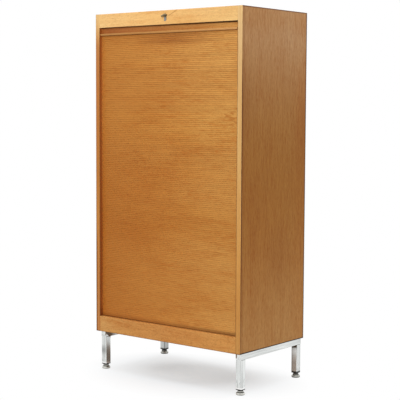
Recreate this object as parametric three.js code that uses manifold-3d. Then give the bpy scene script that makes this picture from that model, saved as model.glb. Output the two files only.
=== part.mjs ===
// Tall cabinet on a tube base, with a slatted tambour that pulls down from a locking lead rail.
import * as THREE from "three";
import { mergeVertices } from "three/addons/utils/BufferGeometryUtils.js";
import Module from "manifold-3d";

const wasm = await Module();
wasm.setup();

// Case, in millimetres, with the front at the low end of Y.
const caseWidth = 750;
const caseDepth = 430;
const caseHeight = 1310;
const sideThickness = 22.5;
const topThickness = 20;
const bottomThickness = 18;
const floorThickness = 18;
const backThickness = 8;
const backRebate = 8;
const innerBackThickness = 8;
const innerBackLetIn = 5;
const railThickness = 15;
const topRailHeight = 55;
const bottomRailHeight = 64;
const arrisRadius = 1.2;

// Tambour of slats on canvas, and the track that it runs in.
const curtainThickness = 6;
const slatPitch = 7.4;
const slatCutWidth = 1.3;
const slatCutDepth = 1.6;
const railToSlatGap = 1;
const trackDepth = 8;
const trackPlay = 0.4;
const trackEndPlay = 1;
const bendRadius = 40;
const runUnderGap = 2;
const runBackGap = 2;
const innerBackGap = 8;
const trackSpare = 60;
const trackTopSpare = 8;

// Lead rail at the head of the tambour, with its grip lip.
const leadDepth = 16;
const leadFaceHeight = 24;
const leadCover = 6;
const leadEndGap = 3;
const leadBackRadius = 3;
const lipHeight = 8;
const lipReach = 14;
const lipRadius = 2.5;
const lipCoveRadius = 2;
const stopGap = 3;
const floorFrontGap = 4;

// Shelves, each at a share of the inner height, set to the nearest hole.
const shelfHeightShares = [0.287, 0.6, 0.809];
const shelfHolePitch = 32;
const shelfHoleNeighbours = 1;
const shelfThickness = 20;
const shelfEndGap = 1.5;
const shelfFrontGap = 8;
const shelfBackGap = 2;
const shelfEdgeRadius = 2;
const pinSetback = 45;
const pegRadius = 2.5;
const pegLength = 9;
const pegHoleDepth = 10;
const tabReach = 11;
const tabWidth = 12;
const tabThickness = 2;
const tabPlateHeight = 14;
const tabPlateThickness = 1.6;

// Base of square tube under the case.
const tubeSize = 27;
const tubeWall = 2;
const tubeCornerRadius = 2.4;
const legLength = 113;
const baseSideInset = 9;
const baseFrontInset = 22;
const baseBackInset = 4;
const endPlateThickness = 2;
const crossInset = 110;

// Levelling feet, from the tube end down to the floor.
const insertFlange = 3;
const insertDepth = 25;
const collarAcrossFlats = 21;
const collarHeight = 7;
const collarChamfer = 0.8;
const padNeckHeight = 3;
const padNeckRadius = 12.5;
const padHeight = 10;
const padRadius = 17.5;
const padRimRadius = 3;
const socketDepth = 6;
const studRadius = 4;

// Cam lock in the top rail, with the key in it.
const keyDrop = 21;
const escutcheonDrop = 28;
const escutcheonWidth = 11.5;
const escutcheonHeight = 29;
const escutcheonThickness = 1.2;
const barrelRadius = 7;
const barrelBehindRail = 8;
const plugRadius = 4.5;
const plugProud = 0.5;
const plugTailSide = 5;
const plugTailSpare = 1.5;
const nutAcrossFlats = 19;
const nutHeight = 4;
const camThickness = 2.2;
const camHubRadius = 6;
const camTipRadius = 4;
const camLength = 22;
const keyReach = 18;
const keyShankRadius = 2;
const keyInside = 13;
const keyCollarRadius = 4.2;
const keyCollarHeight = 5;
const keyBowLength = 15;
const keyBowWidth = 26;
const keyBowThickness = 4.2;
const keyEyeRadius = 2.4;
const keyEyeWall = 2.4;
const keyTilt = Math.PI / 9;

// Strike on the lead rail: a hook that the cam turns under.
const strikeWidth = 8;
const strikeFootThickness = 2;
const strikeFootReach = 14;
const strikeLegThickness = 3;
const strikeNoseThickness = 4;
const strikeTipGap = 1;
const strikeHubGap = 4;
const lockPocketGap = 2;

// Clearances, the overrun of every cut, and facet counts.
const fitGap = 0.3;
const overrun = 2;
const bendSteps = 10;
const filletSteps = 3;
const roundSteps = 24;
const smallRoundSteps = 12;

// Materials.
function finish(color, roughness, metalness) {
  return new THREE.MeshStandardMaterial({ color, roughness, metalness });
}
const oak = finish(0xc98f4e, 0.5, 0);
const oakSide = finish(0xa9743f, 0.55, 0);
const innerOak = finish(0xc9a06a, 0.6, 0);
const chrome = finish(0xd7dbd8, 0.15, 1);
const nickel = finish(0x9c9a94, 0.3, 1);
const blackPlastic = finish(0x1c1c1c, 0.6, 0);

// Heights, from the floor up.
const footHeight = padHeight + padNeckHeight + collarHeight + insertFlange;
const legTop = footHeight + legLength;
const caseBottom = legTop + tubeSize;
const caseTop = caseBottom + caseHeight;
const bottomRailTop = caseBottom + bottomRailHeight;
const topRailBottom = caseTop - topRailHeight;
const topUnderside = caseTop - topThickness;

// Places across the width and along the depth, centred on everything including the key.
const halfWidth = caseWidth / 2;
const innerHalf = halfWidth - sideThickness;
const front = (keyReach - caseDepth) / 2;
const back = front + caseDepth;
const railBack = front + railThickness;
const backFace = back - backThickness;
const slatFace = railBack + railToSlatGap;

// Track: down the front, round, back under the floor, round, and up behind the inner back.
const frontRun = slatFace + curtainThickness / 2;
const rearRun = backFace - runBackGap - curtainThickness / 2;
const bendHeight = caseBottom + bottomThickness + runUnderGap + curtainThickness / 2 + bendRadius;
const frontBend = frontRun + bendRadius;
const rearBend = rearRun - bendRadius;
const bendLength = bendRadius * Math.PI / 2;
const innerBackRear = rearRun - curtainThickness / 2 - innerBackGap;
const innerBackFront = innerBackRear - innerBackThickness;

// Lead rail and its travel.
const leadBottom = topRailBottom - leadFaceHeight - lipHeight;
const leadTop = topRailBottom + leadCover;
const leadBack = slatFace + leadDepth;
const travel = leadBottom - bottomRailTop - stopGap;
const curtainDrop = leadBottom - bendHeight;
const rearClimb = travel - (rearBend - frontBend) - bendLength;
const rearTrackTop = bendHeight + rearClimb + trackSpare;

// Lock, with the cam hanging down at rest and turning towards the left to lock.
const keyHeight = caseTop - keyDrop;
const barrelEnd = railBack + barrelBehindRail;
const camFront = barrelEnd + fitGap;
const camBack = camFront + camThickness;
const plugFace = front - escutcheonThickness - plugProud;
const strikeMiddle = (camFront + camBack) / 2;
const strikeFront = strikeMiddle - strikeWidth / 2;
const strikeBack = strikeMiddle + strikeWidth / 2;
const noseTip = -camHubRadius - strikeHubGap;
const legInner = -camLength - strikeTipGap;
const legOuter = legInner - strikeLegThickness;
const noseUnder = keyHeight + camHubRadius;
const noseTop = noseUnder + strikeNoseThickness;
const nutCorner = nutAcrossFlats / 2 / Math.cos(Math.PI / 6);

const group = new THREE.Group();
group.name = "tambour_cabinet";

// Solids from three's geometry, for cuts.
function solid(geometry) {
  const bare = new THREE.BufferGeometry();
  bare.setAttribute("position", geometry.getAttribute("position"));
  if (geometry.index) bare.setIndex(geometry.index);
  const merged = mergeVertices(bare, 1e-4);
  const index = Array.from(merged.index.array);
  const triangles = [];
  for (let i = 0; i < index.length; i += 3) {
    const [a, b, c] = index.slice(i, i + 3);
    if (a !== b && b !== c && c !== a) triangles.push(a, b, c);
  }
  const vertProperties = Float32Array.from(merged.getAttribute("position").array);
  const triVerts = Uint32Array.from(triangles);
  return new wasm.Manifold(new wasm.Mesh({ numProp: 3, vertProperties, triVerts }));
}

// Adds one closed body to the part under its name.
function piece(name, body, material) {
  const mesh = body.getMesh();
  const geometry = new THREE.BufferGeometry();
  const positions = new Float32Array(mesh.vertProperties);
  geometry.setAttribute("position", new THREE.BufferAttribute(positions, mesh.numProp));
  geometry.setIndex(new THREE.BufferAttribute(new Uint32Array(mesh.triVerts), 1));
  const flat = geometry.toNonIndexed();
  flat.computeVertexNormals();
  const node = new THREE.Mesh(flat, material);
  node.name = name;
  group.add(node);
}

// Extrusions of an outline along each axis; the outline is in the other two, in order.
function prism(points, from, to, basis) {
  const shape = new THREE.Shape(points.map(([u, v]) => new THREE.Vector2(u, v)));
  const geometry = new THREE.ExtrudeGeometry(shape, { depth: to - from, bevelEnabled: false });
  geometry.translate(0, 0, from);
  geometry.applyMatrix4(basis);
  return solid(geometry);
}
const axisX = new THREE.Vector3(1, 0, 0);
const axisY = new THREE.Vector3(0, 1, 0);
const axisZ = new THREE.Vector3(0, 0, 1);
const alongX = new THREE.Matrix4().makeBasis(axisY, axisZ, axisX);
const alongY = new THREE.Matrix4().makeBasis(axisX, axisZ, axisY.clone().negate());
const alongZ = new THREE.Matrix4();
function prismX(points, from, to) {
  return prism(points, Math.min(from, to), Math.max(from, to), alongX);
}
function prismY(points, from, to) {
  return prism(points, -Math.max(from, to), -Math.min(from, to), alongY);
}
function prismZ(points, from, to) {
  return prism(points, Math.min(from, to), Math.max(from, to), alongZ);
}

// Outlines.
function rectangle(u0, u1, v0, v1) {
  return [[u0, v0], [u1, v0], [u1, v1], [u0, v1]];
}
function circle(u, v, radius, steps) {
  const points = [];
  for (let i = 0; i < steps; i += 1) {
    const angle = i * 2 * Math.PI / steps;
    points.push([u + radius * Math.cos(angle), v + radius * Math.sin(angle)]);
  }
  return points;
}
function oval(u, v, halfU, halfV, steps) {
  return circle(0, 0, 1, steps).map(([a, b]) => [u + a * halfU, v + b * halfV]);
}

// Rounds the corners of an outline, each by its own radius.
function rounded(points, radii) {
  const result = [];
  points.forEach((point, i) => {
    const radius = radii[i];
    const here = new THREE.Vector2(...point);
    if (!radius) {
      result.push(point);
      return;
    }
    const before = new THREE.Vector2(...points.at(i - 1)).sub(here).normalize();
    const after = new THREE.Vector2(...points[(i + 1) % points.length]).sub(here).normalize();
    const half = Math.acos(before.dot(after)) / 2;
    const middle = before.clone().add(after).normalize();
    const centre = here.clone().addScaledVector(middle, radius / Math.sin(half));
    const start = here.clone().addScaledVector(before, radius / Math.tan(half)).sub(centre);
    const end = here.clone().addScaledVector(after, radius / Math.tan(half)).sub(centre);
    const sweep = Math.atan2(start.cross(end), start.dot(end));
    for (let k = 0; k <= filletSteps; k += 1) {
      const turned = start.clone().rotateAround(new THREE.Vector2(), sweep * k / filletSteps);
      result.push([centre.x + turned.x, centre.y + turned.y]);
    }
  });
  return result;
}

// Turned pieces: a profile of radius and height, about an upright or a fore-and-aft axis.
function turned(profile, steps) {
  const points = profile.map(([r, h]) => new THREE.Vector2(r, h));
  const geometry = new THREE.LatheGeometry(points, steps);
  geometry.rotateX(Math.PI / 2);
  return geometry;
}
function turnedUp(profile, x, y, steps) {
  const geometry = turned(profile, steps);
  geometry.translate(x, y, 0);
  return solid(geometry);
}
function turnedBack(profile, x, z, steps) {
  const geometry = turned(profile.map(([r, h]) => [r, -h]).reverse(), steps);
  geometry.rotateX(Math.PI / 2);
  geometry.translate(x, 0, z);
  return solid(geometry);
}
function disc(radius, from, to) {
  return [[0, from], [radius, from], [radius, to], [0, to]];
}

// Side panels, with the track, the groove for the inner back, the rebate and the peg holes.
function trackLine(offset) {
  const reach = bendRadius + offset;
  const points = [[frontBend - reach, leadTop + trackTopSpare]];
  for (let i = 0; i <= bendSteps; i += 1) {
    const angle = Math.PI / 2 * i / bendSteps;
    points.push([frontBend - reach * Math.cos(angle), bendHeight - reach * Math.sin(angle)]);
  }
  for (let i = 0; i <= bendSteps; i += 1) {
    const angle = Math.PI / 2 * i / bendSteps;
    points.push([rearBend + reach * Math.sin(angle), bendHeight - reach * Math.cos(angle)]);
  }
  points.push([rearBend + reach, rearTrackTop]);
  return points;
}
const trackHalf = curtainThickness / 2 + trackPlay;
const trackOutline = [...trackLine(trackHalf), ...trackLine(-trackHalf).reverse()];

const shelfFront = leadBack + shelfFrontGap;
const shelfRear = innerBackFront - shelfBackGap;
const pinRows = [shelfFront + pinSetback, shelfRear - pinSetback];
const innerHeight = topUnderside - bottomRailTop;
const floorUnderside = bottomRailTop - floorThickness;
const shelfHeights = shelfHeightShares.map((share) => {
  const holes = Math.round(share * innerHeight / shelfHolePitch);
  return bottomRailTop + holes * shelfHolePitch;
});
const pegDrop = tabThickness + pegRadius;

function sidePanel(side) {
  const outer = side * halfWidth;
  const inner = side * innerHalf;
  const corners = [[outer, front], [inner, front], [inner, back], [outer, back]];
  const radii = [arrisRadius, arrisRadius, 0, 0];
  let panel = prismZ(rounded(corners, radii), caseBottom, caseTop);
  const inside = inner - side * overrun;
  panel = panel.subtract(prismX(trackOutline, inside, inner + side * trackDepth));
  const rebate = rectangle(inside, inner + side * (backRebate + fitGap), backFace, back + overrun);
  panel = panel.subtract(prismZ(rebate, caseBottom - overrun, caseTop + overrun));
  const groove = rectangle(
    inside, inner + side * (innerBackLetIn + fitGap), innerBackFront - fitGap, innerBackRear + fitGap,
  );
  panel = panel.subtract(prismZ(groove, floorUnderside, topUnderside));
  for (const height of shelfHeights) {
    for (let k = -shelfHoleNeighbours; k <= shelfHoleNeighbours; k += 1) {
      for (const row of pinRows) {
        const centre = height - pegDrop + k * shelfHolePitch;
        const hole = circle(row, centre, pegRadius + fitGap, smallRoundSteps);
        panel = panel.subtract(prismX(hole, inside, inner + side * pegHoleDepth));
      }
    }
  }
  return panel;
}
piece("side_panel_left", sidePanel(-1), oakSide);
piece("side_panel_right", sidePanel(1), oakSide);

// Front rails between the sides, flush with their edges.
function frontRail(low, high) {
  const corners = [[front, low], [railBack, low], [railBack, high], [front, high]];
  const radii = [arrisRadius, 0, 0, arrisRadius];
  return prismX(rounded(corners, radii), -innerHalf, innerHalf);
}
const barrelHole = circle(0, keyHeight, barrelRadius + fitGap, roundSteps);
const topRail = frontRail(topRailBottom, caseTop);
piece("top_rail", topRail.subtract(prismY(barrelHole, front - overrun, railBack + overrun)), oak);
piece("bottom_rail", frontRail(caseBottom, bottomRailTop), oak);

// Boards between the sides.
const topBoard = prismX(rectangle(railBack, backFace, topUnderside, caseTop), -innerHalf, innerHalf);
const pocket = rectangle(
  legOuter - lockPocketGap, nutCorner + lockPocketGap, railBack - overrun, strikeBack + lockPocketGap,
);
const pocketTop = Math.max(noseTop, keyHeight + nutCorner) + lockPocketGap;
const lockPocket = prismZ(pocket, topUnderside - overrun, pocketTop);
piece("top_panel", topBoard.subtract(lockPocket), innerOak);
const bottomBoard = rectangle(railBack, backFace, caseBottom, caseBottom + bottomThickness);
piece("bottom_panel", prismX(bottomBoard, -innerHalf, innerHalf), innerOak);
const floorFront = leadBack + floorFrontGap;
const floorBoard = rectangle(floorFront, innerBackFront, floorUnderside, bottomRailTop);
piece("cabinet_floor", prismX(floorBoard, -innerHalf, innerHalf), innerOak);
const innerBackHalf = innerHalf + innerBackLetIn;
const innerBackBoard = rectangle(-innerBackHalf, innerBackHalf, innerBackFront, innerBackRear);
piece("inner_back", prismZ(innerBackBoard, floorUnderside, topUnderside), innerOak);
const backHalf = innerHalf + backRebate;
const backBoard = rectangle(-backHalf, backHalf, backFace, back);
piece("back_panel", prismZ(backBoard, caseBottom, caseTop), innerOak);

// Shelves, each on four pins whose pegs sit in the side panels.
function shelf(height) {
  const top = height + shelfThickness;
  const corners = [[shelfFront, height], [shelfRear, height], [shelfRear, top], [shelfFront, top]];
  const radii = [shelfEdgeRadius, 0, 0, shelfEdgeRadius];
  const half = innerHalf - shelfEndGap;
  return prismX(rounded(corners, radii), -half, half);
}
function shelfPin(side, row, height) {
  const inner = side * innerHalf;
  const plate = inner - side * tabPlateThickness;
  const tip = inner - side * tabReach;
  const low = height - tabPlateHeight;
  const under = height - tabThickness;
  const bracket = [[inner, height], [inner, low], [plate, low], [plate, under], [tip, under], [tip, height]];
  const angle = prismY(bracket, row - tabWidth / 2, row + tabWidth / 2);
  const peg = prismX(
    circle(row, height - pegDrop, pegRadius, smallRoundSteps), plate, inner + side * pegLength,
  );
  return angle.add(peg);
}
const sides = [["left", -1], ["right", 1]];
const ends = [["front", 0], ["back", 1]];
shelfHeights.forEach((height, i) => {
  piece(`shelf_${i + 1}`, shelf(height), innerOak);
  for (const [sideName, side] of sides) {
    for (const [endName, end] of ends) {
      piece(`shelf_pin_${i + 1}_${endName}_${sideName}`, shelfPin(side, pinRows[end], height), nickel);
    }
  }
});

// Tambour: slats with a cut between each pair, on one backing, down the front and round the bend.
function alongRun(distance, offset) {
  if (distance <= curtainDrop) return [frontRun - offset, leadBottom - distance];
  const angle = (distance - curtainDrop) / bendRadius;
  const reach = bendRadius + offset;
  return [frontBend - reach * Math.cos(angle), bendHeight - reach * Math.sin(angle)];
}
function tambour() {
  const length = curtainDrop + bendLength;
  const count = Math.round(length / slatPitch);
  const pitch = length / count;
  const face = curtainThickness / 2;
  const points = [alongRun(0, face)];
  for (let i = 1; i < count; i += 1) {
    points.push(alongRun(i * pitch - slatCutWidth / 2, face));
    points.push(alongRun(i * pitch, face - slatCutDepth));
    points.push(alongRun(i * pitch + slatCutWidth / 2, face));
  }
  points.push(alongRun(length, face));
  for (let i = count; i > 0 && i * pitch > curtainDrop; i -= 1) {
    points.push(alongRun(i * pitch, -face));
  }
  points.push(alongRun(curtainDrop, -face));
  points.push(alongRun(0, -face));
  const half = innerHalf + trackDepth - trackEndPlay;
  return prismX(points, -half, half);
}
piece("tambour_curtain", tambour(), oak);

// Lead rail: a flat face over a grip lip, with tongues that run in the track.
function leadRail() {
  const lipFront = slatFace - lipReach;
  const lipTop = leadBottom + lipHeight;
  const corners = [
    [slatFace, leadTop], [slatFace, lipTop], [lipFront, lipTop], [lipFront, leadBottom],
    [leadBack, leadBottom], [leadBack, leadTop],
  ];
  const radii = [arrisRadius, lipCoveRadius, lipRadius, lipRadius, leadBackRadius, leadBackRadius];
  const bodyHalf = innerHalf - leadEndGap;
  const tongueHalf = innerHalf + trackDepth - trackEndPlay;
  const tongue = rectangle(slatFace, slatFace + curtainThickness, leadBottom, leadTop);
  let rail = prismX(rounded(corners, radii), -bodyHalf, bodyHalf);
  rail = rail.add(prismX(tongue, -tongueHalf, tongueHalf));
  const seat = rectangle(
    legOuter - strikeFootReach - fitGap, legInner + strikeFootReach + fitGap,
    strikeFront - fitGap, strikeBack + fitGap,
  );
  return rail.subtract(prismZ(seat, leadTop - strikeFootThickness, leadTop + overrun));
}
piece("lead_rail", leadRail(), oak);

// Strike: a foot let into the lead rail, a leg, and a nose that reaches over the cam.
const hookOutline = [
  [legOuter - strikeFootReach, leadTop - strikeFootThickness],
  [legInner + strikeFootReach, leadTop - strikeFootThickness],
  [legInner + strikeFootReach, leadTop], [legInner, leadTop], [legInner, noseUnder],
  [noseTip, noseUnder], [noseTip, noseTop], [legOuter, noseTop],
  [legOuter, leadTop], [legOuter - strikeFootReach, leadTop],
];
const hookRadii = hookOutline.map((point) => (point[1] === noseTop ? arrisRadius : 0));
piece("strike_hook", prismY(rounded(hookOutline, hookRadii), strikeFront, strikeBack), nickel);

// Barrel through the rail, held by a nut behind it.
const barrelProfile = [
  [plugRadius + fitGap, front], [barrelRadius, front], [barrelRadius, barrelEnd],
  [plugRadius + fitGap, barrelEnd], [plugRadius + fitGap, front],
];
piece("lock_barrel", turnedBack(barrelProfile, 0, keyHeight, roundSteps), nickel);
const hexagonSides = 6;
const lockNut = prismY(circle(0, keyHeight, nutCorner, hexagonSides), railBack, railBack + nutHeight)
  .subtract(prismY(barrelHole, railBack - overrun, railBack + nutHeight + overrun));
piece("lock_nut", lockNut, nickel);

// Plug: it turns in the barrel, bored in front for the key, with a square tail for the cam.
const keyEnd = plugFace + keyInside;
const plugProfile = [
  [0, keyEnd], [keyShankRadius + fitGap, keyEnd], [keyShankRadius + fitGap, plugFace],
  [plugRadius, plugFace], [plugRadius, camFront], [0, camFront],
];
const tailHalf = plugTailSide / 2;
const tail = rectangle(-tailHalf, tailHalf, keyHeight - tailHalf, keyHeight + tailHalf);
const plug = turnedBack(plugProfile, 0, keyHeight, roundSteps)
  .add(prismY(tail, camFront, camBack + plugTailSpare));
piece("lock_plug", plug, nickel);

// Cam: a flat lever with round ends, from the plug's tail down to its tip.
function cam() {
  const tipHeight = keyHeight - camLength + camTipRadius;
  const outline = [];
  for (let i = 0; i <= smallRoundSteps; i += 1) {
    const angle = Math.PI * i / smallRoundSteps;
    outline.push([camHubRadius * Math.cos(angle), keyHeight + camHubRadius * Math.sin(angle)]);
  }
  for (let i = 0; i <= smallRoundSteps; i += 1) {
    const angle = Math.PI * (1 + i / smallRoundSteps);
    outline.push([camTipRadius * Math.cos(angle), tipHeight + camTipRadius * Math.sin(angle)]);
  }
  const eye = tailHalf + fitGap;
  const square = rectangle(-eye, eye, keyHeight - eye, keyHeight + eye);
  return prismY(outline, camFront, camBack)
    .subtract(prismY(square, camFront - overrun, camBack + overrun));
}
piece("lock_cam", cam(), nickel);

// Escutcheon: an upright plate with round ends, pierced for the plug.
function escutcheon() {
  const round = escutcheonWidth / 2;
  const middle = caseTop - escutcheonDrop;
  const straight = escutcheonHeight / 2 - round;
  const outline = [];
  for (let i = 0; i <= smallRoundSteps; i += 1) {
    const angle = Math.PI * i / smallRoundSteps;
    outline.push([round * Math.cos(angle), middle + straight + round * Math.sin(angle)]);
  }
  for (let i = 0; i <= smallRoundSteps; i += 1) {
    const angle = Math.PI * (1 + i / smallRoundSteps);
    outline.push([round * Math.cos(angle), middle - straight + round * Math.sin(angle)]);
  }
  const hole = circle(0, keyHeight, plugRadius + fitGap, roundSteps);
  return prismY(outline, front - escutcheonThickness, front)
    .subtract(prismY(hole, front - escutcheonThickness - overrun, front + overrun));
}
piece("escutcheon", escutcheon(), nickel);

// Key: a shank with a collar, and a wide flat bow with an eye, which lies a little off level.
const bowTurn = new THREE.Matrix4().makeRotationY(-keyTilt).setPosition(0, 0, keyHeight);
function key() {
  const tip = front - keyReach;
  const eyeMiddle = tip + keyEyeWall + keyEyeRadius;
  const shankFront = eyeMiddle + keyEyeRadius + keyEyeWall / 2;
  const collarFront = plugFace - keyCollarHeight;
  const profile = [
    [0, shankFront], [keyShankRadius, shankFront],
    [keyShankRadius, collarFront], [keyCollarRadius, collarFront],
    [keyCollarRadius, plugFace], [keyShankRadius, plugFace],
    [keyShankRadius, keyEnd], [0, keyEnd],
  ];
  const half = keyBowThickness / 2;
  const bow = oval(0, tip + keyBowLength / 2, keyBowWidth / 2, keyBowLength / 2, roundSteps);
  const eye = circle(0, eyeMiddle, keyEyeRadius, smallRoundSteps);
  return turnedBack(profile, 0, keyHeight, smallRoundSteps)
    .add(prism(bow, -half, half, bowTurn))
    .subtract(prism(eye, -half - overrun, half + overrun, bowTurn));
}
piece("key", key(), nickel);

// Square tube with rounded corners, as an outline and as a hollow length.
function square(u, v, half, radius) {
  const corners = rectangle(u - half, u + half, v - half, v + half);
  return rounded(corners, corners.map(() => radius));
}
function tube(make, u, v, from, to) {
  const half = tubeSize / 2;
  const bore = square(u, v, half - tubeWall, tubeCornerRadius - tubeWall);
  const hollow = make(bore, from - overrun, to + overrun);
  return make(square(u, v, half, tubeCornerRadius), from, to).subtract(hollow);
}
const tubeX = halfWidth - baseSideInset - tubeSize / 2;
const baseFront = front + baseFrontInset;
const baseBack = back - baseBackInset;
const railMiddle = legTop + tubeSize / 2;
for (const [sideName, side] of sides) {
  const x = side * tubeX;
  const from = baseFront + endPlateThickness;
  const to = baseBack - endPlateThickness;
  piece(`base_rail_${sideName}`, tube(prismY, x, railMiddle, from, to), chrome);
  const plate = square(x, railMiddle, tubeSize / 2, tubeCornerRadius);
  piece(`rail_end_front_${sideName}`, prismY(plate, baseFront, from), chrome);
  piece(`rail_end_back_${sideName}`, prismY(plate, to, baseBack), chrome);
}

// Cross rails between the side rails, set back out of sight.
const crossHalf = tubeX - tubeSize / 2;
const crossFront = baseFront + crossInset + tubeSize / 2;
const crossBack = baseBack - crossInset - tubeSize / 2;
piece("cross_rail_front", tube(prismX, crossFront, railMiddle, -crossHalf, crossHalf), chrome);
piece("cross_rail_back", tube(prismX, crossBack, railMiddle, -crossHalf, crossHalf), chrome);

// Legs, each with an insert for a levelling foot.
function insert(x, y) {
  const half = tubeSize / 2;
  const plugHalf = half - tubeWall - fitGap;
  const flange = prismZ(square(x, y, half, tubeCornerRadius), footHeight - insertFlange, footHeight);
  const plugOutline = square(x, y, plugHalf, tubeCornerRadius - tubeWall);
  const body = flange.add(prismZ(plugOutline, footHeight, footHeight + insertDepth));
  const bore = circle(x, y, studRadius + fitGap, smallRoundSteps);
  return body.subtract(prismZ(bore, 0, footHeight + insertDepth + overrun));
}

// Pad: a disc with a round rim and a socket in its neck for the stud.
const neckTop = padHeight + padNeckHeight;
const socketFloor = neckTop - socketDepth;
function pad(x, y) {
  const socket = studRadius + fitGap;
  const profile = [[0, 0], [padRadius - padRimRadius, 0]];
  for (let i = 1; i <= filletSteps; i += 1) {
    const angle = Math.PI / 2 * i / filletSteps;
    const out = padRadius - padRimRadius + padRimRadius * Math.sin(angle);
    profile.push([out, padRimRadius - padRimRadius * Math.cos(angle)]);
  }
  for (let i = 0; i <= filletSteps; i += 1) {
    const angle = Math.PI / 2 * i / filletSteps;
    const out = padRadius - padRimRadius + padRimRadius * Math.cos(angle);
    profile.push([out, padHeight - padRimRadius + padRimRadius * Math.sin(angle)]);
  }
  profile.push([padNeckRadius, padHeight], [padNeckRadius, neckTop]);
  profile.push([socket, neckTop], [socket, socketFloor], [0, socketFloor]);
  return turnedUp(profile, x, y, roundSteps);
}

// Stud: a threaded rod with a hexagon collar that turns on the pad and in the insert.
const collarTop = neckTop + collarHeight;
function stud(x, y) {
  const corner = collarAcrossFlats / 2 / Math.cos(Math.PI / hexagonSides);
  const rod = turnedUp(disc(studRadius, socketFloor, footHeight + insertDepth), x, y, smallRoundSteps);
  const hexagon = prismZ(circle(x, y, corner, hexagonSides), neckTop, collarTop);
  const dome = turnedUp([
    [0, neckTop], [corner - collarChamfer, neckTop], [corner, neckTop + collarChamfer],
    [corner, collarTop - collarChamfer], [corner - collarChamfer, collarTop], [0, collarTop],
  ], x, y, roundSteps);
  return rod.add(hexagon.intersect(dome));
}
const legRows = [baseFront + tubeSize / 2, baseBack - tubeSize / 2];
for (const [sideName, side] of sides) {
  for (const [endName, end] of ends) {
    const x = side * tubeX;
    const y = legRows[end];
    piece(`leg_${endName}_${sideName}`, tube(prismZ, x, y, footHeight, legTop), chrome);
    piece(`leg_insert_${endName}_${sideName}`, insert(x, y), blackPlastic);
    piece(`foot_pad_${endName}_${sideName}`, pad(x, y), blackPlastic);
    piece(`foot_stud_${endName}_${sideName}`, stud(x, y), nickel);
  }
}

export default group;
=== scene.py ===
import math

import bpy
from mathutils import Matrix, Vector


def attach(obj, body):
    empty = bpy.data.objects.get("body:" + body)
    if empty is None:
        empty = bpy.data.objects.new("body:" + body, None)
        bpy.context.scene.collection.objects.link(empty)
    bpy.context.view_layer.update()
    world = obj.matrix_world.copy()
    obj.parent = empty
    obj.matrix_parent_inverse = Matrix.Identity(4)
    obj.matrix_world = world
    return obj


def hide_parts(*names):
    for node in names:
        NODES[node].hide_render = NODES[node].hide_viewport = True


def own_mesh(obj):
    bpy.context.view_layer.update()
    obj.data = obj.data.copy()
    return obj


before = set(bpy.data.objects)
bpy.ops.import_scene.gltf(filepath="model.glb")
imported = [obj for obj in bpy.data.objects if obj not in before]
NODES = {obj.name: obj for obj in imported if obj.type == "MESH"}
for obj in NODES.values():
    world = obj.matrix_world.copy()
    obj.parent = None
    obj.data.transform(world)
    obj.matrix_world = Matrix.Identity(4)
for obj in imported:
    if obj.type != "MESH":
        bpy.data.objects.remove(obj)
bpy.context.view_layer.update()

# Sizes in metres, as the frame has them. The front faces -Y.
HALF_WIDTH = 0.375
FRONT, BACK = -0.206, 0.224
CASE_BOTTOM, CASE_TOP = 0.163, 1.473
INNER_HALF = 0.3525
TOP_RAIL_BOTTOM = CASE_TOP - 0.055
LEAD_BOTTOM = TOP_RAIL_BOTTOM - 0.032
LIP_TOP = LEAD_BOTTOM + 0.0095
KEY_HEIGHT = CASE_TOP - 0.021

# The tambour: its slats, the cuts between them, the tracks beside them, the bend at their
# foot, and the straight drop above it.
SLAT_FACE = FRONT + 0.016
SLAT_THICKNESS = 0.006
SLAT_PITCH = 0.0074
CUT_WIDTH, CUT_DEPTH, CUT_ROUNDING = 0.0009, 0.0012, 0.0003
TRACK_DEPTH = 0.007
BEND_RADIUS = 0.040
BEND_HEIGHT = CASE_BOTTOM + 0.063
BEND_LENGTH = BEND_RADIUS * math.pi / 2
DROP = LEAD_BOTTOM - BEND_HEIGHT

# The legs' square tube, and where their middles are: across, and the front and back rows.
TUBE_HALF = 0.0135
TUBE_X = HALF_WIDTH - 0.009 - TUBE_HALF
TUBE_INNER = TUBE_X - TUBE_HALF
LEG_ROWS = (FRONT + 0.0355, BACK - 0.0175)
LEG_BOTTOM, LEG_TOP = 0.023, 0.136

# The floor, the light that it adds where it is seen, and the sky's strength as a light.
FLOOR_HALF = 14.0
FLOOR_LIFT, SKY_LIGHT = 0.525, 0.38

# The photograph's view. The angles are in degrees, the focal length in pixels.
IMAGE_WIDTH = 400
SENSOR_WIDTH = 36.0
FOCAL_LENGTH = 1140.42
CAMERA_PLACE = (2.91640, -3.61700, 1.09035)
CAMERA_TURN, CAMERA_DROP, CAMERA_ROLL = 38.758, 4.570, 0.286

WHITE = (1.0, 1.0, 1.0)


def linear(r, g, b):
    """A colour in levels of 255, as a picture has it, in the numbers that a shader takes."""
    def one(level):
        share = level / 255
        return share / 12.92 if share <= 0.04045 else ((share + 0.055) / 1.055) ** 2.4
    return (one(r), one(g), one(b))


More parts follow.
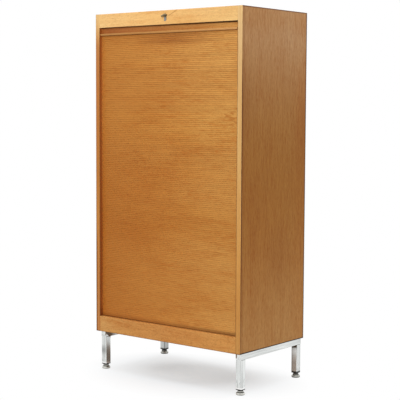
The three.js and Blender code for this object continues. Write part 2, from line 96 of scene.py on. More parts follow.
class Nodes:
    """The node tree of a material or of the world, with short ways to add to it."""

    def __init__(self, owner, output="ShaderNodeOutputMaterial"):
        owner.use_nodes = True
        self.owner = owner
        self.tree = owner.node_tree
        self.tree.nodes.clear()
        self.out = self.tree.nodes.new(output)

    def new(self, kind, inputs=None, **settings):
        node = self.tree.nodes.new(kind)
        for key, value in settings.items():
            setattr(node, key, value)
        for key, value in (inputs or {}).items():
            socket = node.inputs[key]
            if isinstance(value, bpy.types.NodeSocket):
                self.tree.links.new(value, socket)
            elif socket.type == "RGBA":
                socket.default_value = (*value, 1.0)
            else:
                socket.default_value = value
        return node

    def show(self, shader):
        self.tree.links.new(shader.outputs[0], self.out.inputs["Surface"])

    def place(self, uv=None):
        """The object's own coordinates, or those of a UV map."""
        if uv:
            return self.new("ShaderNodeUVMap", uv_map=uv).outputs[0]
        return self.new("ShaderNodeTexCoord").outputs["Object"]

    def split(self, vector):
        return tuple(self.new("ShaderNodeSeparateXYZ", {"Vector": vector}).outputs)

    def math(self, operation, a, b=0.0, clamp=False):
        node = self.new("ShaderNodeMath", {0: a, 1: b}, operation=operation, use_clamp=clamp)
        return node.outputs[0]

    def times(self, product, *others):
        for other in others:
            product = self.math("MULTIPLY", product, other)
        return product

    def most(self, highest, *others):
        for other in others:
            highest = self.math("MAXIMUM", highest, other)
        return highest

    def apart(self, value, middle):
        return self.math("ABSOLUTE", self.math("SUBTRACT", value, middle))

    def length(self, a, b):
        vector = self.new("ShaderNodeCombineXYZ", {0: a, 1: b}).outputs[0]
        return self.new("ShaderNodeVectorMath", {0: vector}, operation="LENGTH").outputs["Value"]

    def remap(self, value, low, high, to_low=0.0, to_high=1.0):
        return self.new("ShaderNodeMapRange", {
            "Value": value, "From Min": low, "From Max": high, "To Min": to_low, "To Max": to_high,
        }).outputs[0]

    def fall(self, value, low, high):
        """1 up to the low value, then down to 0 at the high one."""
        return self.remap(value, low, high, 1.0, 0.0)

    def near(self, a, b, centre, half, core=0.2):
        """1 in the core of an oval in two coordinates, falling to 0 at its rim."""
        shares = [self.math("DIVIDE", self.math("SUBTRACT", value, middle), reach)
                  for value, middle, reach in zip((a, b), centre, half)]
        return self.fall(self.length(*shares), core, 1.0)

    def noise(self, place, waves, detail, roughness=0.5, distortion=0.0, offset=(0, 0, 0)):
        """Noise with so many waves to the metre along each axis."""
        vector = self.new("ShaderNodeMapping", {
            "Vector": place, "Scale": waves, "Location": offset,
        }).outputs["Vector"]
        return self.new("ShaderNodeTexNoise", {
            "Vector": vector, "Scale": 1.0, "Detail": detail, "Roughness": roughness,
            "Distortion": distortion,
        }).outputs["Fac"]

    def ramp(self, value, stops, interpolation="LINEAR"):
        node = self.new("ShaderNodeValToRGB", {"Fac": value})
        node.color_ramp.interpolation = interpolation
        elements = node.color_ramp.elements
        while len(elements) < len(stops):
            elements.new(0.5)
        for element, (at, colour) in zip(elements, stops):
            element.position = at
            element.color = (*colour, 1.0)
        return node.outputs["Color"]

    def mix(self, factor, a, b, blend="MIX"):
        node = self.new("ShaderNodeMix", {0: factor, 6: a, 7: b},
                        data_type="RGBA", blend_type=blend)
        return node.outputs[2]

    def tint(self, factor, colour, tint):
        """The colour, multiplied by the tint where the factor is 1."""
        return self.mix(factor, colour, tint, "MULTIPLY")

    def bump(self, height, strength, distance):
        return self.new("ShaderNodeBump", {
            "Height": height, "Strength": strength, "Distance": distance,
        }).outputs["Normal"]


def gradient(n, value, stops):
    """A colour that runs softly through its stops, each at a place in metres."""
    low, high = stops[0][0], stops[-1][0]
    shares = [((at - low) / (high - low), colour) for at, colour in stops]
    return n.ramp(n.remap(value, low, high), shares, "B_SPLINE")


def spaced(low, high, colours):
    """Stops at even distances for a gradient."""
    step = (high - low) / (len(colours) - 1)
    return [(low + i * step, linear(*colour)) for i, colour in enumerate(colours)]


def upward(*colours):
    return spaced(CASE_BOTTOM, CASE_TOP, colours)


def rightward(*colours):
    return spaced(-HALF_WIDTH, HALF_WIDTH, colours)


def at_heights(*stops):
    return [(height, linear(*colour)) for height, *colour in stops]


def wood(name, axis, base, base_axis=2, seed=0.0, figure=16.0, streak=150.0, short=1.0,
         depth=1.0, spread=0.14, patchy=1.0, weights=(0.42, 0.36, 0.22), flecks=0.0,
         specks=0.0, gloss=0.48, slatted=False, finish=None):
    """Oak under a satin finish, its grain along one axis.

    base is one colour, or stops along base_axis. figure and streak are waves to the metre
    across the grain, and short multiplies those along it. depth is the grain's strength,
    spread its softness, patchy the strength of the broad patches, and weights the shares of
    figure, streaks and fine lines. slatted wood is the tambour's, laid out by its UV map:
    across it and down from its top. finish changes the colour last.
    """
    n = Nodes(bpy.data.materials.new(name))
    place = n.place("grain" if slatted else None)
    parts = n.split(place)
    offset = (seed * 3.1, seed * 1.7, seed * 2.3)

    def marks(along, across, *kind):
        waves = tuple(along if i == axis else across for i in range(3))
        return n.noise(place, waves, *kind, offset=offset)

    # Broad patches, growth figure, streaks, fine lines and pores, from coarse to fine.
    patches = marks(2.2, 6.5, 2.0, 0.45)
    growth = marks(1.1 * short, figure, 4.0, 0.6, 0.7)
    streaks = marks(5.0 * short, streak, 3.0, 0.55)
    fine = marks(22.0 * short, streak * 2.2, 2.0)
    pore = n.remap(marks(60.0, 1300.0, 1.0), 0.60, 0.72)
    mixed = n.times(growth, weights[0])
    for lines, weight in ((streaks, weights[1]), (fine, weights[2])):
        mixed = n.math("ADD", mixed, n.times(lines, weight))
    tone = n.ramp(n.remap(mixed, 0.5 - spread, 0.5 + spread), [
        (0.0, (0.76, 0.60, 0.46)), (0.5, (0.87, 0.86, 0.85)), (1.0, (0.97, 1.0, 1.0)),
    ])
    hue = n.ramp(n.remap(patches, 0.32, 0.68), [
        (0.0, (0.92, 0.82, 0.68)), (0.5, (0.98, 0.95, 0.90)), (1.0, WHITE),
    ])

    grain = depth
    if slatted:
        # It is more even towards its left side, and its grain fainter lower down.
        down = parts[1]
        lively = n.remap(parts[0], -0.33, 0.02)
        grain = n.times(n.remap(down, 0.35, 0.85, depth, depth * 0.80),
                        n.remap(lively, 0.0, 1.0, 0.30, 0.90))
    colour = gradient(n, parts[base_axis], base) if isinstance(base, list) else base
    colour = n.tint(grain, colour, tone)
    colour = n.tint(depth * patchy, colour, hue)
    # The grain's dark lines are made up for, so that the mean colour stays the base.
    colour = n.tint(grain, colour, (1.13, 1.13, 1.13))
    if flecks:
        # Clusters of short wavy marks, darker than the grain about them.
        where = n.remap(marks(5.0, 9.0, 2.0), 0.52, 0.70)
        mark = n.remap(marks(16.0, 75.0, 3.0, 0.6, 1.4), 0.52, 0.66)
        colour = n.tint(n.times(where, mark, flecks), colour, (0.74, 0.54, 0.36))
    if specks:
        strength = specks
        if slatted:
            strength = n.times(n.remap(down, 0.1, 0.7, specks, specks * 0.3),
                               n.remap(lively, 0.0, 1.0, 0.4, 1.0))
        spot = n.remap(marks(150.0, 240.0, 2.0, 0.6), 0.54, 0.68, 0.0, strength)
        colour = n.tint(spot, colour, (0.60, 0.46, 0.34))
    colour = n.tint(n.times(pore, 0.35), colour, (0.42, 0.34, 0.28))
    if slatted:
        # Each slat has a shade of its own, less so lower down and towards the left.
        slat = n.math("DIVIDE", down, SLAT_PITCH)
        chance = n.new("ShaderNodeTexWhiteNoise", {"W": n.math("FLOOR", slat)},
                       noise_dimensions="1D").outputs["Value"]
        shade = n.remap(chance, 0.0, 1.0, n.remap(down, 0.0, 0.8, 0.90, 0.965),
                        n.remap(down, 0.0, 0.8, 1.05, 1.005))
        shade = n.remap(lively, 0.0, 1.0, n.remap(shade, 0.0, 1.0, 0.735, 0.985), shade)
        grey = n.new("ShaderNodeCombineColor", {i: shade for i in range(3)}).outputs[0]
        colour = n.tint(1.0, colour, grey)
        # The cuts between slats have painted shade, most near the top and towards the right.
        part = n.math("FRACT", n.math("ADD", slat, 0.5))
        cut = n.times(n.fall(n.apart(part, 0.5), 0.10, 0.18),
                      n.remap(down, 0.0, 0.7, 0.24, 0.0), lively)
        colour = n.tint(cut, colour, (0.55, 0.42, 0.32))
    if finish:
        colour = finish(n, colour)
    height = n.math("SUBTRACT", n.times(streaks, 0.4), n.times(pore, 0.6))
    n.show(n.new("ShaderNodeBsdfPrincipled", {
        "Base Color": colour, "Roughness": n.remap(mixed, 0.35, 0.65, gloss + 0.08, gloss - 0.04),
        "Normal": n.bump(height, 0.30, 0.0003), "Specular IOR Level": 0.20,
    }))
    return n.owner


def side_finish(n, colour):
    """Broad differences in the veneer, a painted sheen high at the back, a darker strip of edging
    in front, dark arrises, and painted shadow along the bottom edge.
    """
    _, y, z = n.split(n.place())
    # The first tint is a painted sheen, high up towards the back; the rest are broad differences
    # in the veneer.
    for share, tint in (
        (n.times(n.remap(y, -0.08, 0.16), n.remap(z, 0.95, 1.38)), (1.08, 1.16, 1.32)),
        (n.remap(z, CASE_TOP - 0.110, CASE_TOP - 0.055), (0.95, 0.89, 0.78)),
        (n.near(y, z, (-0.185, 1.14), (0.09, 0.21)), (0.90, 0.86, 0.82)),
        (n.near(y, z, (0.200, 1.08), (0.06, 0.24)), (0.97, 0.88, 0.77)),
        (n.near(y, z, (0.040, 0.50), (0.10, 0.17)), (0.90, 0.83, 0.74)),
        (n.remap(y, 0.12, 0.20), (0.99, 0.94, 0.87)),
    ):
        colour = n.tint(share, colour, tint)
    edging = n.times(n.fall(y, FRONT + 0.012, FRONT + 0.020), 0.25)
    colour = n.mix(edging, colour, linear(140, 80, 30))
    # The front arris is darkest half way up, and the lower one is wider in front.
    fades = n.math("MINIMUM", n.remap(z, 0.20, 0.50, 0.35, 1.0), n.fall(z, 1.17, 1.30))
    lower = n.math("SUBTRACT", z, n.remap(y, -0.16, -0.02, 0.0012, 0.0))
    lines = n.most(n.times(n.fall(y, FRONT + 0.0045, FRONT + 0.0075), fades),
                   n.remap(y, BACK - 0.006, BACK - 0.003),
                   n.remap(z, CASE_TOP - 0.005, CASE_TOP - 0.002),
                   n.fall(lower, CASE_BOTTOM + 0.0020, CASE_BOTTOM + 0.0035))
    colour = n.mix(n.times(lines, 0.8), colour, linear(90, 38, 8))
    rear = n.remap(y, BACK - 0.0055, BACK - 0.0030, 0.0, 0.9)
    colour = n.mix(rear, colour, linear(64, 26, 6))
    # Painted shadow darkens the panel's lowest strip, over the base.
    ground = n.remap(lower, CASE_BOTTOM + 0.0028, CASE_BOTTOM + 0.0048, 0.85, 0.0)
    return n.mix(ground, colour, linear(36, 22, 14))


def lead_finish(n, colour):
    """The lead rail has painted shadow at its head, under the top rail, most to the right."""
    x, _, z = n.split(n.place())
    head = n.times(n.remap(z, TOP_RAIL_BOTTOM - 0.0055, TOP_RAIL_BOTTOM - 0.0025),
                   n.remap(x, -0.2, 0.3, 0.15, 0.90))
    return n.mix(head, colour, linear(66, 26, 8))


def top_finish(n, colour):
    """One faint line of figure runs up the top rail to the right of the lock."""
    x, _, z = n.split(n.place())
    rise = n.remap(x, 0.0154, 0.0579, KEY_HEIGHT - 0.0015, KEY_HEIGHT + 0.0189)
    ends = n.times(n.remap(x, 0.013, 0.018), n.fall(x, 0.055, 0.064))
    line = n.times(n.fall(n.apart(z, rise), 0.0008, 0.0032), ends, 0.60)
    return n.mix(line, colour, linear(178, 112, 52))


def edge_finish(n, colour):
    """The front edges have painted shadow at the inner arris and painted shade at the foot. The
    left one has a painted highlight along its middle in the lower half, and painted shade at the
    outer arris, widest low down."""
    x, _, z = n.split(n.place())
    # Painted highlights along the left edge's middle, in its lower half.
    for middle, low, high, tint in ((-0.3565, 0.80, 1.05, (1.08, 1.14, 1.30)),
                                    (-0.3630, 0.66, 0.76, (1.16, 1.32, 1.60))):
        painted_highlight = n.times(n.fall(n.apart(x, middle), 0.0024, 0.0042), n.fall(z, low, high))
        colour = n.tint(painted_highlight, colour, tint)
    # Painted shade at the left edge's outer arris, widest low down.
    outer = n.times(n.fall(x, -0.3735, n.remap(z, 0.52, 0.62, -0.3660, -0.3720)),
                    n.remap(z, 0.5, 1.1, 1.0, 0.6))
    colour = n.mix(outer, colour, linear(104, 38, 5))
    # Painted shadow along the inner arris, beside the slats, and painted shade at the foot.
    half = n.math("ABSOLUTE", x)
    inner = n.times(n.remap(half, INNER_HALF + 0.0020, INNER_HALF + 0.0030, 0.8, 0.0),
                    n.remap(z, BEND_HEIGHT, BEND_HEIGHT + 0.002),
                    n.fall(z, TOP_RAIL_BOTTOM - 0.001, TOP_RAIL_BOTTOM + 0.001))
    foot = n.remap(z, CASE_BOTTOM + 0.0022, CASE_BOTTOM + 0.0040, 0.7, 0.0)
    return n.mix(n.most(inner, foot), colour, linear(92, 52, 24))


def recess_finish(n, colour):
    """The recess beside the slats has painted light at its back, most near the top, and painted
    shade below.
    """
    _, y, z = n.split(n.place())
    deep = n.times(n.remap(y, SLAT_FACE - 0.0060, SLAT_FACE - 0.0035),
                   n.remap(z, 0.6, 1.15, 0.3, 0.9))
    colour = n.mix(deep, colour, linear(224, 152, 78))
    low = n.remap(z, BEND_HEIGHT, BEND_HEIGHT + 0.045, 0.6, 0.0)
    return n.mix(low, colour, linear(84, 38, 16))


def bottom_finish(n, colour):
    """The bottom rail's lower arris has painted shade."""
    z = n.split(n.place())[2]
    line = n.remap(z, CASE_BOTTOM + 0.0022, CASE_BOTTOM + 0.0036, 0.55, 0.0)
    return n.mix(line, colour, linear(112, 66, 30))


def tambour_finish(n, colour):
    """The tambour is redder half way down, and has painted shadow where it goes behind the bottom
    rail.
    """
    x, distance, _ = n.split(n.place("grain"))
    down = n.remap(distance, 0.0, 1.16)
    # The right side is lighter low down than the left, which is painted light.
    left, right = (
        n.ramp(down, list(zip((0.0, 0.5, 1.0), tints)), "B_SPLINE") for tints in (
            ((1.01, 1.03, 1.06), (0.825, 0.69, 0.545), (0.965, 0.855, 0.71)),
            ((1.02, 1.05, 1.07), (0.81, 0.71, 0.54), (1.04, 1.05, 1.03)),
        )
    )
    colour = n.tint(1.0, colour, n.mix(n.remap(x, -0.30, 0.30), left, right))
    # A paler band, most to the right, a deeper one below it, and redder painted shade under the
    # lip.
    pale = n.times(n.fall(n.apart(down, 0.305), 0.025, 0.085),
                   n.remap(x, -0.33, 0.33, 0.35, 1.0))
    colour = n.tint(pale, colour, (1.12, 1.22, 1.29))
    colour = n.tint(n.fall(n.apart(down, 0.64), 0.02, 0.08), colour, (0.965, 0.93, 0.86))
    lip_shade = n.near(x, distance, (0.03, 0.022), (0.24, 0.034), core=0.35)
    colour = n.tint(lip_shade, colour, (0.77, 0.67, 0.62))
    # Shadow at the foot goes by height, since the slats shorten as the door opens.
    z = n.split(n.place())[2]
    foot = n.times(n.fall(z, BEND_HEIGHT + 0.003, BEND_HEIGHT + 0.008), 0.72)
    above = n.times(n.remap(z, BEND_HEIGHT + 0.007, BEND_HEIGHT + 0.019, 0.58, 0.0),
                    n.remap(x, -0.2, 0.3, 0.5, 1.0))
    return n.mix(n.most(foot, above), colour, linear(78, 42, 18))


# The colour stops hold painted light along with each oak's own tone: the top rail is lighter than
# the bottom rail, the front edges lighter near the top, the lead rail, lip and slats lighter to
# the right, and the left front edge is a darker, shaded copy of the right one.
SIDE = wood(
    "side_oak", 2,
    upward((215, 158, 94), (191, 127, 54), (176, 114, 39), (184, 125, 58), (218, 170, 123)),
    seed=1.0, figure=30.0, streak=170.0, short=3.0, spread=0.115, patchy=0.6,
    weights=(0.24, 0.38, 0.38), finish=side_finish)
EDGE_LEFT = wood(
    "edge_oak_left", 2, at_heights(
        (0.163, 199, 131, 70), (0.49, 197, 125, 54), (0.82, 199, 131, 60), (1.15, 192, 118, 55),
        (1.34, 197, 129, 69), (1.385, 218, 159, 93), (1.43, 243, 198, 132), (1.473, 245, 202, 136),
    ), seed=2.0, figure=40.0, depth=0.6, finish=edge_finish)
EDGE_RIGHT = wood(
    "edge_oak_right", 2, at_heights(
        (0.163, 213, 157, 89), (0.49, 216, 153, 77), (0.82, 223, 175, 107),
        (1.15, 223, 179, 117), (1.38, 225, 187, 134), (1.43, 233, 193, 134),
        (1.473, 234, 194, 133),
    ), seed=2.5, figure=40.0, depth=0.6, finish=edge_finish)
TOP_RAIL = wood(
    "top_rail_oak", 0, rightward((255, 212, 146), (249, 197, 125), (239, 196, 131)), base_axis=0,
    seed=3.0, figure=22.0, short=2.0, depth=0.8, specks=0.3, finish=top_finish)
BOTTOM_RAIL = wood(
    "bottom_rail_oak", 0, rightward((229, 174, 104), (222, 158, 91), (229, 171, 100)), base_axis=0,
    seed=3.6, figure=26.0, short=3.0, weights=(0.34, 0.36, 0.30), flecks=0.8, specks=0.5,
    finish=bottom_finish)
LEAD = wood(
    "lead_oak", 0, rightward((172, 99, 47), (193, 129, 66), (216, 160, 87)), base_axis=0,
    seed=4.0, figure=24.0, short=2.5, specks=0.5, finish=lead_finish)
LIP = wood(
    "lip_oak", 0, rightward((184, 130, 72), (202, 150, 88), (212, 158, 98)), base_axis=0,
    seed=4.5, figure=24.0, depth=0.5)
SLATS = wood(
    "tambour_oak", 0, rightward((203, 135, 60), (213, 147, 71), (222, 165, 92)), base_axis=0,
    seed=5.0, figure=15.0, streak=105.0, short=3.6, patchy=0.80, weights=(0.34, 0.37, 0.29),
    flecks=0.7, specks=0.22, slatted=True, finish=tambour_finish)
# The recess walls are a darker copy of the inner oak, as painted shade.
RECESS = wood(
    "recess_oak", 2, upward((165, 92, 40), (166, 95, 42), (180, 104, 46)),
    seed=8.0, figure=30.0, depth=0.6, finish=recess_finish)
# The top rail's underside is painted shade, darkest to the right.
UNDER_TOP_RAIL = wood(
    "rail_underside_shade_oak", 0, rightward((124, 66, 30), (92, 46, 18), (38, 15, 5)), base_axis=0,
    seed=8.5, figure=30.0, depth=0.6)
INNER = wood(
    "inner_oak", 0, linear(214, 170, 116), seed=6.0, figure=18.0, depth=0.7, gloss=0.5)
INNER_UP = wood(
    "inner_oak_upright", 2, linear(208, 162, 108), seed=7.0, figure=18.0, depth=0.7, gloss=0.5)
END_GRAIN = wood("end_oak", 1, linear(206, 152, 92), seed=9.0, figure=40.0)


def metal(name, colour, roughness, variation, scratches, waves=(14, 14, 14), bands=None,
          finish=None):
    """Plated metal with soft haze, and painted reflection in the bands given as heights and
    shares.
    """
    n = Nodes(bpy.data.materials.new(name))
    place = n.place()
    haze = n.noise(place, waves, 4.0, 0.6)
    dark = tuple(v * (1 - variation) for v in colour)
    tone = n.ramp(haze, [(0.35, dark), (0.65, colour)])
    if bands:
        low, high = bands[0][0], bands[-1][0]
        shade = n.ramp(n.remap(n.split(place)[2], low, high), [
            ((at - low) / (high - low), (share, share, share * 0.97)) for at, share in bands
        ])
        tone = n.tint(1.0, tone, shade)
    bare = 1.0
    if finish:
        tone, bare = finish(n, tone)
    specks = n.noise(place, (240, 240, 240), 2.0)
    n.show(n.new("ShaderNodeBsdfPrincipled", {
        "Base Color": tone, "Metallic": bare,
        "Roughness": n.remap(haze, 0.3, 0.7, roughness + 0.08, roughness),
        "Normal": n.bump(specks, scratches, 0.0001), "Specular IOR Level": 0.1,
    }))
    return n.owner


def frame_finish(n, tone):
    """Brown heat marks, partly painted shade and reflection, where the legs meet the rails, and
    grime and painted reflection on the legs.

    Gives the tone, and how far the metal is bare.
    """
    place = n.place()
    x, y, z = n.split(place)
    middle, half = sum(LEG_ROWS) / 2, (LEG_ROWS[1] - LEG_ROWS[0]) / 2
    across, along = n.math("ABSOLUTE", x), n.apart(y, middle)
    left, front = n.fall(x, -0.1, 0.1), n.fall(y, -0.1, 0.1)

    # On the legs' inner faces the marks end aslant, below the rails.
    slope = n.math("SUBTRACT", z, n.times(n.math("SUBTRACT", across, TUBE_X), 0.1))
    leg = n.times(n.most(n.remap(slope, LEG_TOP - 0.0160, LEG_TOP - 0.0100),
                         n.remap(slope, LEG_TOP - 0.0260, LEG_TOP - 0.0120, 0.0, 0.45)),
                  n.fall(along, half - TUBE_HALF + 0.0004, half - TUBE_HALF + 0.0012),
                  n.fall(z, LEG_TOP, LEG_TOP + 0.0002))
    # On the rails they start at the mitre and get fainter away from it.
    within = n.math("SUBTRACT", half + TUBE_HALF, along)
    fading = n.ramp(n.remap(within, 0.0, 0.060), [
        (share, (grey, grey, grey))
        for share, grey in ((0.0, 1.0), (0.50, 1.0), (0.64, 0.82), (1.0, 0.3))
    ])
    rail = n.times(n.remap(n.math("ADD", n.times(within, 0.8), z), 0.1480, 0.1510),
                   n.fall(within, 0.060, 0.075), fading,
                   n.fall(across, TUBE_INNER + 0.0020, TUBE_INNER + 0.0028))
    # The end plates' inner edges are dark too.
    plate = n.times(n.remap(across, TUBE_INNER + 0.0050, TUBE_INNER + 0.0065, 0.9, 0.0),
                    n.fall(within, 0.0004, 0.0008),
                    n.remap(z, CASE_BOTTOM - 0.022, CASE_BOTTOM - 0.018))
    mark = n.most(n.times(n.most(leg, rail), 0.98), plate)
    tone = n.mix(mark, tone, n.mix(front, (0.085, 0.050, 0.024), (0.19, 0.12, 0.07)))

    # Painted reflection makes the left legs darker and gives the front one a grey band half way
    # down its front.
    left_reflection = n.times(left, n.remap(front, 0.0, 1.0, 0.32, 0.08))
    facing = n.split(n.new("ShaderNodeNewGeometry").outputs["Normal"])[1]
    reflected_band = n.times(n.fall(n.apart(z, 0.0790), 0.004, 0.030),
                   n.remap(x, -TUBE_X - TUBE_HALF, -TUBE_INNER, 0.56, 0.40),
                   left, front, n.fall(facing, -0.8, -0.3))
    # All are soiled at the foot, with painted shade where the tube ends, the front ones below a
    # painted highlight, and the back legs' inner arrises are dark.
    stain = n.times(n.remap(n.noise(place, (160, 160, 60), 3.0, 0.6), 0.52, 0.62, 0.0, 0.30),
                    n.fall(z, 0.05, 0.075))
    rise = n.math("SUBTRACT", z, n.remap(front, 0.0, 1.0, 0.0036, 0.0))
    end = n.times(n.fall(rise, LEG_BOTTOM + 0.0003, LEG_BOTTOM + 0.0011),
                  n.remap(front, 0.0, 1.0, 0.85, 0.45))
    arris = n.times(n.fall(across, TUBE_INNER + 0.0055, TUBE_INNER + 0.0085),
                    n.math("SUBTRACT", 1.0, front), n.remap(z, 0.03, 0.12, 0.45, 0.38),
                    n.fall(z, LEG_TOP, LEG_TOP + 0.001))
    pale = n.times(n.fall(z, LEG_BOTTOM + 0.004, LEG_BOTTOM + 0.008), front)
    tone = n.mix(pale, tone, (0.97, 0.97, 0.96))
    tone = n.mix(n.most(left_reflection, reflected_band, stain, end, arris), tone, (0.02, 0.02, 0.018))
    return tone, n.remap(mark, 0.4, 1.0, 1.0, 0.3)


def chrome(name, waves):
    return metal(name, (0.81, 0.83, 0.815), 0.09, 0.26, 0.10, waves, finish=frame_finish)


CHROME_LEG = chrome("chrome_leg", (110, 110, 7))
CHROME_RAIL = chrome("chrome_rail", (90, 6, 90))
CHROME_CROSS = chrome("chrome_cross", (6, 90, 90))
NICKEL = metal("nickel_plate", (0.34, 0.33, 0.31), 0.32, 0.22, 0.15)
# The feet's bands are painted reflection, dark and bright rings; the back feet are a darker copy,
# as painted shade.
FOOT_FRONT = metal(
    "foot_steel", (0.86, 0.86, 0.82), 0.16, 0.42, 0.20, (110, 110, 110), bands=[
        (0.0, 0.45), (0.0018, 0.55), (0.0045, 0.80), (0.0068, 1.0), (0.0095, 0.96),
        (0.0103, 0.12), (0.0122, 0.12), (0.0136, 0.85), (0.0160, 0.55), (0.0172, 0.03),
    ])
FOOT_BACK = metal(
    "foot_steel_back_shaded", (0.80, 0.79, 0.75), 0.18, 0.42, 0.20, (110, 110, 110), bands=[
        (0.0, 0.45), (0.0040, 0.32), (0.0060, 0.45), (0.0075, 0.95), (0.0098, 0.85),
        (0.0112, 0.24), (0.0165, 0.22), (0.0172, 0.03),
    ])
KEY_METAL = metal("key_brass", (0.41, 0.335, 0.20), 0.30, 0.42, 0.20)


def plastic(name, colour, roughness):
    """Moulded plastic with a fine grain and some dust."""
    n = Nodes(bpy.data.materials.new(name))
    place = n.place()
    grain = n.noise(place, (900, 900, 900), 2.0)
    dust = n.noise(place, (30, 30, 30), 3.0, 0.6)
    dusty = tuple(v * 2.2 for v in colour)
    n.show(n.new("ShaderNodeBsdfPrincipled", {
        "Base Color": n.ramp(dust, [(0.45, colour), (0.75, dusty)]),
        "Roughness": n.remap(dust, 0.3, 0.7, roughness, roughness + 0.15),
        "Normal": n.bump(grain, 0.2, 0.0002), "Specular IOR Level": 0.15,
    }))
    return n.owner


def canvas(name, thread_waves):
    """Plain weave, for the back of the tambour. The waves are in radians to the metre."""
    n = Nodes(bpy.data.materials.new(name))
    x, _, z = n.split(n.place())
    weave = n.times(*(n.math("SINE", n.times(value, thread_waves)) for value in (x, z)))
    tone = n.ramp(n.remap(weave, -1, 1), [(0.0, linear(96, 78, 56)), (1.0, linear(150, 128, 98))])
    n.show(n.new("ShaderNodeBsdfPrincipled", {
        "Base Color": tone, "Roughness": 0.9, "Normal": n.bump(weave, 0.4, 0.0003),
    }))
    return n.owner


BLACK = plastic("black_plastic", (0.012, 0.012, 0.011), 0.5)
CANVAS = canvas("tambour_canvas", 5200.0)


def dress(name, materials, choose=None):
    """Puts materials on a node. choose picks one for each face by its middle and direction."""
    data = NODES[name].data
    data.materials.clear()
    for material in materials:
        data.materials.append(material)
    if choose:
        for face in data.polygons:
            face.material_index = materials.index(choose(face.center, face.normal))


def side_faces(edge):
    def choose(middle, direction):
        sideways = abs(direction.x)
        if sideways < 0.5 and (middle.z > CASE_TOP - 0.001 or middle.y > BACK - 0.001):
            return END_GRAIN
        if direction.y < -0.3 and middle.y < FRONT + 0.002:
            return edge
        if sideways > 0.3 and abs(middle.x) < INNER_HALF + 0.003 and middle.y < SLAT_FACE:
            return RECESS
        if sideways > 0.5 and abs(middle.x) < INNER_HALF + 0.005:
            return INNER_UP
        return SIDE
    return choose


def top_rail_faces(middle, direction):
    return UNDER_TOP_RAIL if direction.z < -0.9 else TOP_RAIL


def lead_rail_faces(middle, direction):
    return LIP if middle.z < LIP_TOP and middle.y < SLAT_FACE - 0.0002 else LEAD


for side, edge in (("left", EDGE_LEFT), ("right", EDGE_RIGHT)):
    dress(f"side_panel_{side}", (SIDE, edge, INNER_UP, RECESS, END_GRAIN), side_faces(edge))
dress("top_rail", (TOP_RAIL, UNDER_TOP_RAIL), top_rail_faces)
dress("lead_rail", (LEAD, LIP), lead_rail_faces)
for starts, material in (
    (("bottom_rail",), BOTTOM_RAIL),
    (("top_panel", "bottom_panel", "cabinet_floor", "shelf_1", "shelf_2", "shelf_3"), INNER),
    (("inner_back", "back_panel"), INNER_UP),
    (("shelf_pin", "lock_", "strike", "escutcheon"), NICKEL),
    (("leg_front", "leg_back"), CHROME_LEG),
    (("base_rail", "rail_end"), CHROME_RAIL),
    (("cross_rail",), CHROME_CROSS),
    (("foot_pad_front", "foot_stud_front"), FOOT_FRONT),
    (("foot_pad_back", "foot_stud_back"), FOOT_BACK),
    (("key",), KEY_METAL),
    (("leg_insert",), BLACK),
):
    for name in NODES:
        if name.startswith(starts):
            dress(name, (material,))


def mesh_object(name, verts, faces):
    data = bpy.data.meshes.new(name)
    data.from_pydata(verts, [], faces)
    data.update()
    obj = bpy.data.objects.new(name, data)
    bpy.context.scene.collection.objects.link(obj)
    return obj


def track_point(distance, offset):
    """Y and Z at a distance from the tambour's top, down the track and round its bend."""
    run = SLAT_FACE + SLAT_THICKNESS / 2
    if distance <= DROP:
        return run - offset, LEAD_BOTTOM - distance
    angle = (distance - DROP) / BEND_RADIUS
    radius = BEND_RADIUS + offset
    return run + BEND_RADIUS - radius * math.cos(angle), BEND_HEIGHT - radius * math.sin(angle)


def slat_rows(start, end, pitch):
    """The front's outline between two distances, with a rounded cut between slats."""
    half = CUT_WIDTH / 2
    face = SLAT_THICKNESS / 2
    rim, deep = face - CUT_ROUNDING, face - CUT_DEPTH
    profile = ((-1.5, face), (-1.0, rim), (-0.35, deep), (0.35, deep), (1.0, rim), (1.5, face))
    first, last = math.ceil(start / pitch - 1e-6), math.floor(end / pitch + 1e-6)
    rows = [(start, face)]
    for i in range(first, last + 1):
        cut = i * pitch
        if cut - half * 2 > start and cut + half * 2 < end:
            rows += [(cut + half * share, offset) for share, offset in profile]
    rows.append((end, face))
    return rows


def tambour(name, start, end, back_steps):
    """A piece of the tambour between two distances from its top, slats before and canvas
    behind. Its ends lie in the tracks."""
    total = DROP + BEND_LENGTH
    pitch = total / round(total / SLAT_PITCH)
    half = INNER_HALF + TRACK_DEPTH
    front_rows = slat_rows(start, end, pitch)
    back_rows = [(start + (end - start) * i / back_steps, -SLAT_THICKNESS / 2)
                 for i in range(back_steps, -1, -1)]
    ring = front_rows + back_rows
    count = len(ring)
    verts = [(x, *track_point(*row)) for x in (-half, half) for row in ring]
    faces = []
    for i in range(count):
        j = (i + 1) % count
        faces.append((i, j, count + j, count + i))
    obj = mesh_object(name, verts, faces)
    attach(obj, "case")
    data = obj.data
    data.materials.append(SLATS)
    data.materials.append(CANVAS)
    uv = data.uv_layers.new(name="grain")
    for face in data.polygons:
        for loop in face.loop_indices:
            vertex = data.loops[loop].vertex_index
            uv.data[loop].uv = (verts[vertex][0], ring[vertex % count][0])
        if min(vertex % count for vertex in face.vertices) >= len(front_rows):
            face.material_index = 1
    return obj


slats = tambour("tambour_slats", 0.0, DROP, back_steps=1)
bend = tambour("tambour_bend", DROP, DROP + BEND_LENGTH, back_steps=10)
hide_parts("tambour_curtain")
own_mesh(slats)


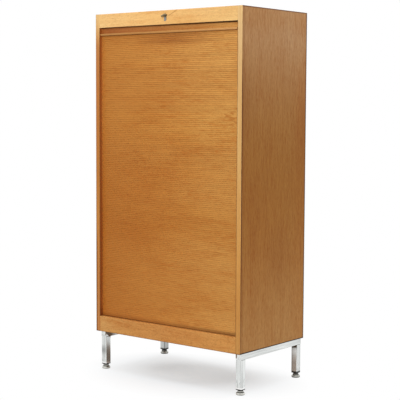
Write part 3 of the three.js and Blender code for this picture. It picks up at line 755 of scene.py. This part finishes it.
def floor_material():
    """White paper that keeps the shadow near the cabinet and is plain white farther off.

    What the camera and glossy rays see has a lift of its own, which lights nothing else.
    Glossy rays see painted brown shade on the ground under the case, darker to the left, which the
    chrome mirrors.
    """
    n = Nodes(bpy.data.materials.new("floor_white"))
    place = n.place()
    x, y, _ = n.split(place)
    path = n.new("ShaderNodeLightPath")
    camera_ray, glossy_ray = path.outputs["Is Camera Ray"], path.outputs["Is Glossy Ray"]
    seen = n.math("ADD", camera_ray, glossy_ray, clamp=True)
    under = n.times(n.fall(n.math("ABSOLUTE", x), 0.30, 0.42),
                    n.remap(y, -0.34, -0.05), n.fall(y, 0.14, 0.26))
    mirrored = n.times(under, glossy_ray)

    paper = n.ramp(n.noise(place, (1.5, 1.5, 1.5), 2.0), [
        (0.3, (0.74, 0.78, 0.825)), (0.7, (0.76, 0.80, 0.845)),
    ])
    diffuse = n.new("ShaderNodeBsdfDiffuse", {
        "Color": n.mix(mirrored, paper, (0.42, 0.34, 0.28)),
    })
    # The shadow is darker in two places, left and right of the middle, and paler in one in
    # front of them.
    spots = n.times(n.fall(n.apart(n.math("ABSOLUTE", x), 0.16), 0.0, 0.13),
                    n.fall(n.apart(y, 0.03), 0.02, 0.14))
    lift = n.math("SUBTRACT", FLOOR_LIFT, n.times(spots, 0.04))
    lift = n.math("ADD", lift, n.times(n.near(x, y, (-0.10, -0.11), (0.22, 0.08)), 0.035))
    lift = n.remap(mirrored, 0.0, 1.0, lift, n.remap(x, -0.15, 0.15, 0.13, 0.34))
    glow = n.new("ShaderNodeEmission", {
        "Color": n.mix(mirrored, (0.975, 0.99, 1.0), (1.0, 0.83, 0.72)),
        "Strength": n.times(seen, lift),
    })
    shadowed = n.new("ShaderNodeAddShader", {0: diffuse.outputs[0], 1: glow.outputs[0]})
    plain = n.new("ShaderNodeEmission", {"Color": WHITE, "Strength": 1.0})
    # The fade is an oval, longer towards the front, and weaker beside the back left leg.
    deep = n.most(n.math("DIVIDE", y, 0.26), n.math("DIVIDE", y, -0.34))
    fade = n.times(n.remap(n.length(n.math("DIVIDE", x, 0.42), deep), 0.45, 1.25),
                   n.math("SUBTRACT", seen, mirrored, clamp=True),
                   n.remap(n.near(x, y, (-0.29, 0.16), (0.15, 0.12)), 0.0, 1.0, 1.0, 0.76))
    n.show(n.new("ShaderNodeMixShader", {0: fade, 1: shadowed.outputs[0], 2: plain.outputs[0]}))
    return n.owner


floor = mesh_object("floor", [
    (x * FLOOR_HALF, y * FLOOR_HALF, 0) for x, y in ((-1, -1), (1, -1), (1, 1), (-1, 1))
], [(0, 1, 2, 3)])
floor.data.materials.append(floor_material())

# The world is white to the camera and to glossy rays, and dimmer as a light.
world = bpy.data.worlds.new("studio")
bpy.context.scene.world = world
sky = Nodes(world, "ShaderNodeOutputWorld")
ray = sky.new("ShaderNodeLightPath").outputs
looking = sky.math("ADD", ray["Is Camera Ray"], ray["Is Glossy Ray"], clamp=True)
sky.show(sky.new("ShaderNodeBackground", {
    "Color": WHITE, "Strength": sky.remap(looking, 0.0, 1.0, SKY_LIGHT, 1.0),
}))

# The front and side lamps leave the floor out, so its shadow stays soft and under the cabinet.
# Their sizes are in metres, their powers in watts.
unlit = bpy.data.collections.new("floor_unlit")
unlit.objects.link(floor)
unlit.collection_objects[0].light_linking.link_state = "EXCLUDE"
for name, place, target, size, power, lights_floor in (
    ("key_lamp", (0.7, -3.5, 2.25), (0.0, -0.2, 0.8), 1.3, 73.0, False),
    ("side_lamp", (3.4, 0.2, 1.8), (0.3, 0.0, 0.8), 1.6, 16.0, False),
    ("top_lamp", (0.0, 0.0, 3.6), (0.0, 0.0, 0.0), 3.0, 40.0, True),
):
    data = bpy.data.lights.new(name, "AREA")
    data.shape = "RECTANGLE"
    data.size = data.size_y = size
    data.energy = power
    lamp = bpy.data.objects.new(name, data)
    lamp.location = place
    aim = Vector(target) - Vector(place)
    lamp.rotation_euler = aim.to_track_quat("-Z", "Y").to_euler()
    lamp.visible_glossy = False
    bpy.context.scene.collection.objects.link(lamp)
    if not lights_floor:
        lamp.light_linking.receiver_collection = unlit

camera_data = bpy.data.cameras.new("camera")
camera_data.sensor_width = SENSOR_WIDTH
camera_data.lens = FOCAL_LENGTH / IMAGE_WIDTH * SENSOR_WIDTH
camera = bpy.data.objects.new("camera", camera_data)
bpy.context.scene.collection.objects.link(camera)
turn = (Matrix.Rotation(math.radians(CAMERA_TURN), 4, "Z")
        @ Matrix.Rotation(math.radians(90 - CAMERA_DROP), 4, "X")
        @ Matrix.Rotation(math.radians(CAMERA_ROLL), 4, "Z"))
camera.matrix_world = Matrix.Translation(CAMERA_PLACE) @ turn
bpy.context.scene.camera = camera

bpy.context.scene.view_settings.view_transform = "Standard"
